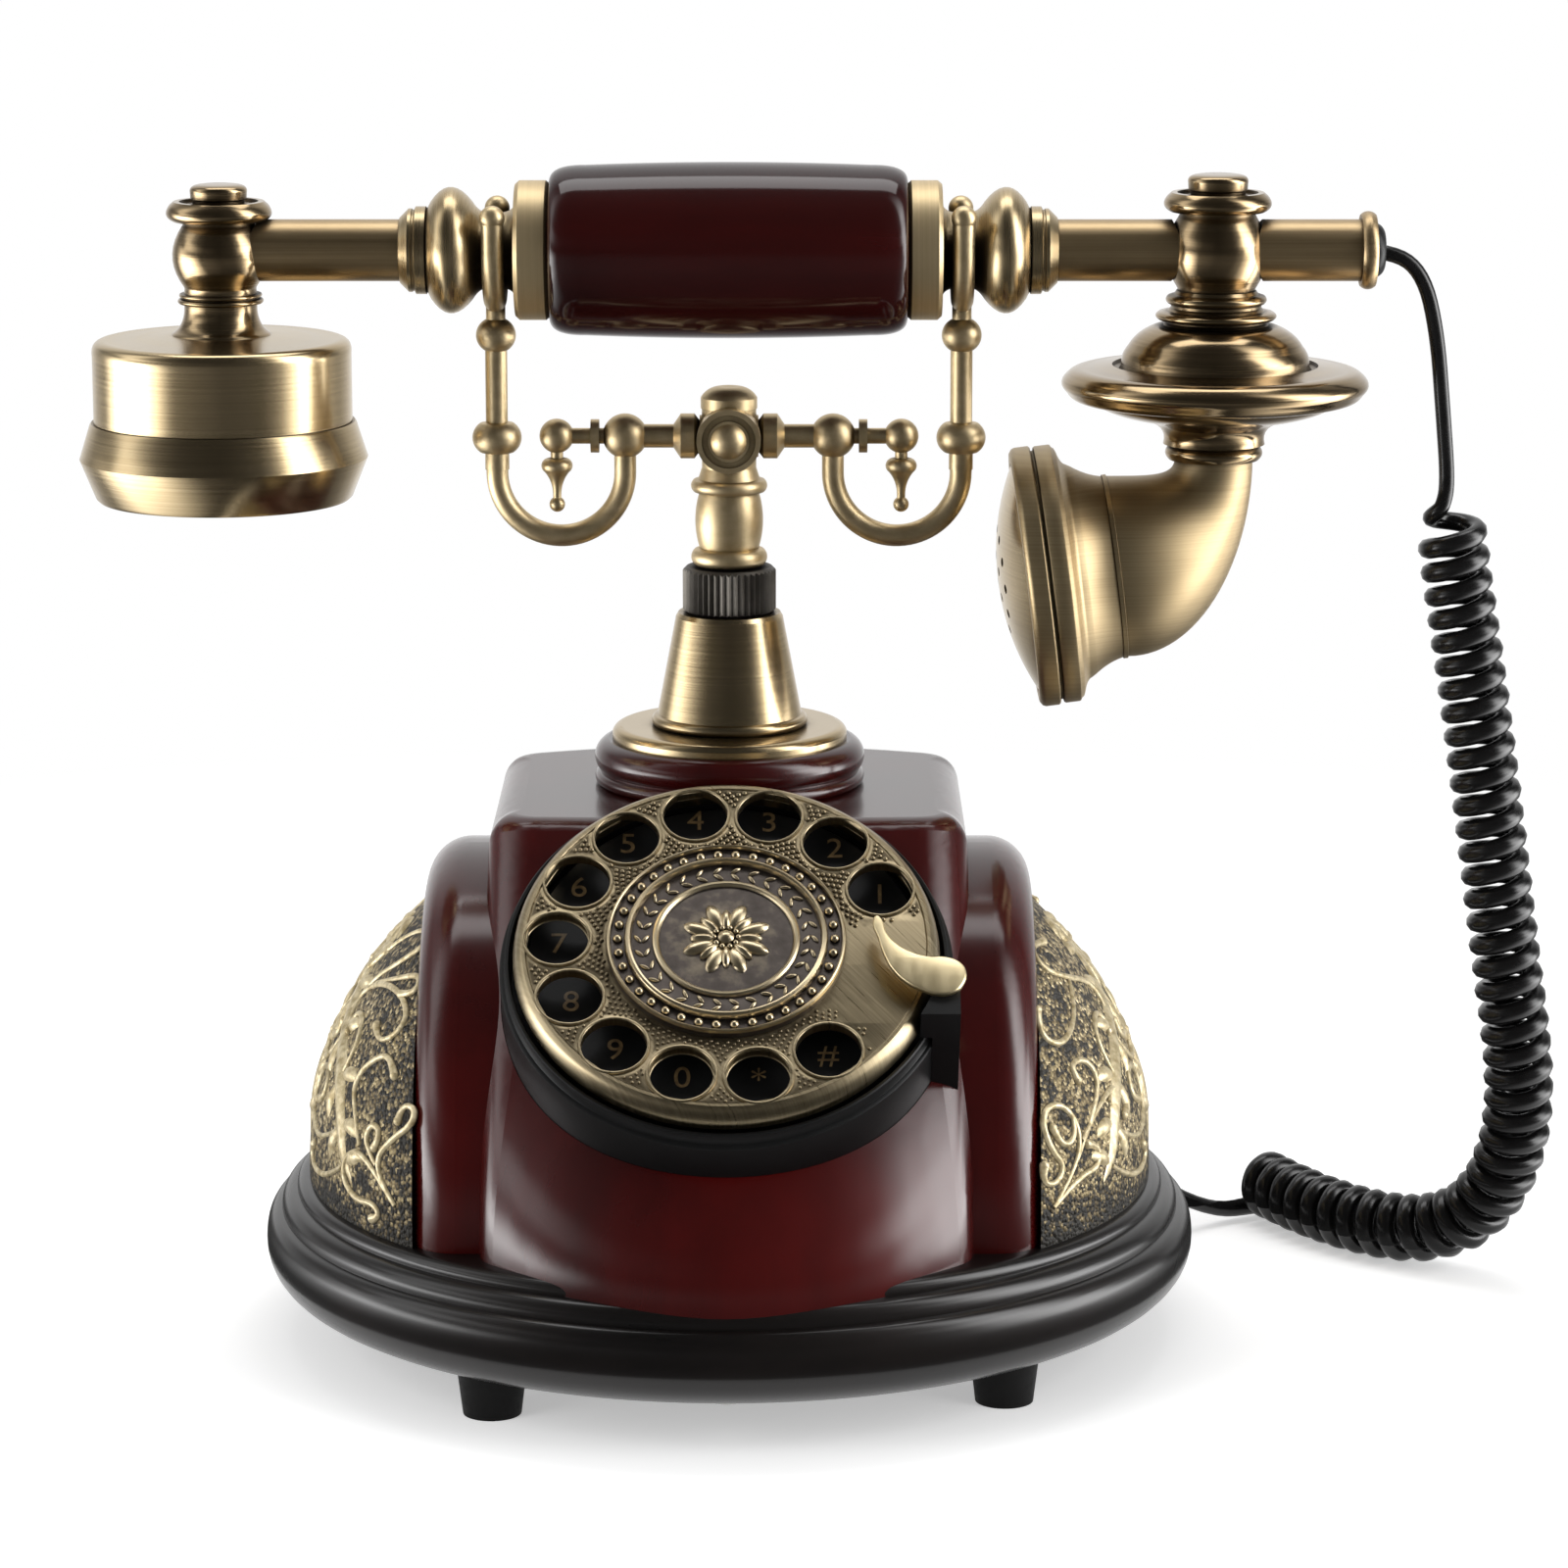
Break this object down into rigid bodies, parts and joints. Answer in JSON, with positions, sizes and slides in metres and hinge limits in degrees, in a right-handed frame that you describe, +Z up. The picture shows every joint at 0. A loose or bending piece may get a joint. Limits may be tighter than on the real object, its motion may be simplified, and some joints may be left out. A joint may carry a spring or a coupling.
{
  "type": "rotary telephone",
  "caption": "Antique-style desk telephone: turned brass handset with horn mouthpiece on a forked cradle and column, lacquered body with relief domes, rotary dial and curly cord.",
  "frame": {"origin": "on the floor under the middle of the round base, between its feet", "axes": "+X along the handset towards the mouthpiece, +Z up, the dial faces -Y"},
  "size_m": [0.2858, 0.1784, 0.2223],
  "materials": {
    "mahogany": "high gloss mahogany lacquer",
    "base_lacquer": "satin black-brown lacquer",
    "antique_brass": "satin antique brass, dark in the grooves",
    "cradle_brass": "satin antique gold",
    "pewter": "dark pewter plating",
    "relief_gold": "cast relief, gold on a dark granular ground",
    "black_plastic": "satin black",
    "number_ink": "matt black with printed figures",
    "cord_black": "glossy black sheath",
    "foot_rubber": "matt black rubber",
    "steel": "plain steel",
    "board": "circuit board"
  },
  "bodies": {
    "base": {"ballast_plate": "steel", "base_lead": "cord_black", "base_moulding": "base_lacquer", "base_screws": "steel", "body_shell": "mahogany", "bottom_plate": "steel", "circuit_board": "board", "column_cone": "antique_brass", "column_flange": "antique_brass", "cord_bush": "black_plastic", "cradle_spring": "steel", "curly_cord": "cord_black", "dial_frame": "steel", "dial_housing": "black_plastic", "finger_stop": "antique_brass", "finger_stop_post": "black_plastic", "handset_lead": "cord_black", "hook_switch": "black_plastic", "knurled_collar": "pewter", "left_dome": "relief_gold", "line_jack": "black_plastic", "number_plate": "number_ink", "right_dome": "relief_gold", "ringer": "black_plastic", "rubber_feet": "foot_rubber", "top_plinth": "mahogany"},
    "dial": {"finger_wheel": "antique_brass", "dial_medallion": "antique_brass", "dial_spindle": "steel", "dial_gear": "steel"},
    "governor": {"governor_pinion": "steel"},
    "cradle": {"cradle_post": "cradle_brass", "plunger_rod": "steel", "cross_hub": "cradle_brass", "hub_cap": "cradle_brass", "right_arm": "cradle_brass", "left_arm": "cradle_brass", "drop_finials": "cradle_brass", "right_hook": "cradle_brass", "left_hook": "cradle_brass"},
    "handset": {"grip": "mahogany", "ferrules": "antique_brass", "turned_necks": "antique_brass", "ear_joint": "antique_brass", "left_tube": "antique_brass", "mouth_joint": "antique_brass", "right_tube": "antique_brass", "joint_caps": "antique_brass", "ear_shell": "antique_brass", "ear_cover": "antique_brass", "receiver_capsule": "black_plastic", "mouth_bell": "antique_brass", "horn_elbow": "antique_brass", "horn_rim": "antique_brass", "mouth_grille": "antique_brass", "microphone_capsule": "black_plastic", "tail_collar": "antique_brass", "handset_bush": "black_plastic"}
  },
  "joints": [
    {"name": "dial_turn", "type": "hinge", "parent": "base", "child": "dial", "pos_m": [0, -0.0496, 0.0846], "axis": [0, -0.6115, 0.7912], "range_deg": [-305, 0], "stiffness_Nm_per_rad": 0.02, "springref_deg": 28.65},
    {"name": "governor_turn", "type": "hinge", "parent": "base", "child": "governor", "pos_m": [-0.0225, -0.0496, 0.0846], "axis": [0, -0.6115, 0.7912], "range_deg": [0, 1220]},
    {"name": "handset_lift", "type": "slide", "parent": "base", "child": "handset", "axis": [0, 0, 1], "range_m": [0, 0.06], "deforming": ["curly_cord", "handset_lead"]},
    {"name": "cradle_rise", "type": "slide", "parent": "base", "child": "cradle", "axis": [0, 0, 1], "range_m": [0, 0.003], "deforming": ["cradle_spring"]}
  ],
  "couplings": [
    {"joint": "governor_turn", "follows": "dial_turn", "ratio": -4},
    {"joint": "cradle_rise", "follows": "handset_lift", "ratio": 0.05}
  ]
}
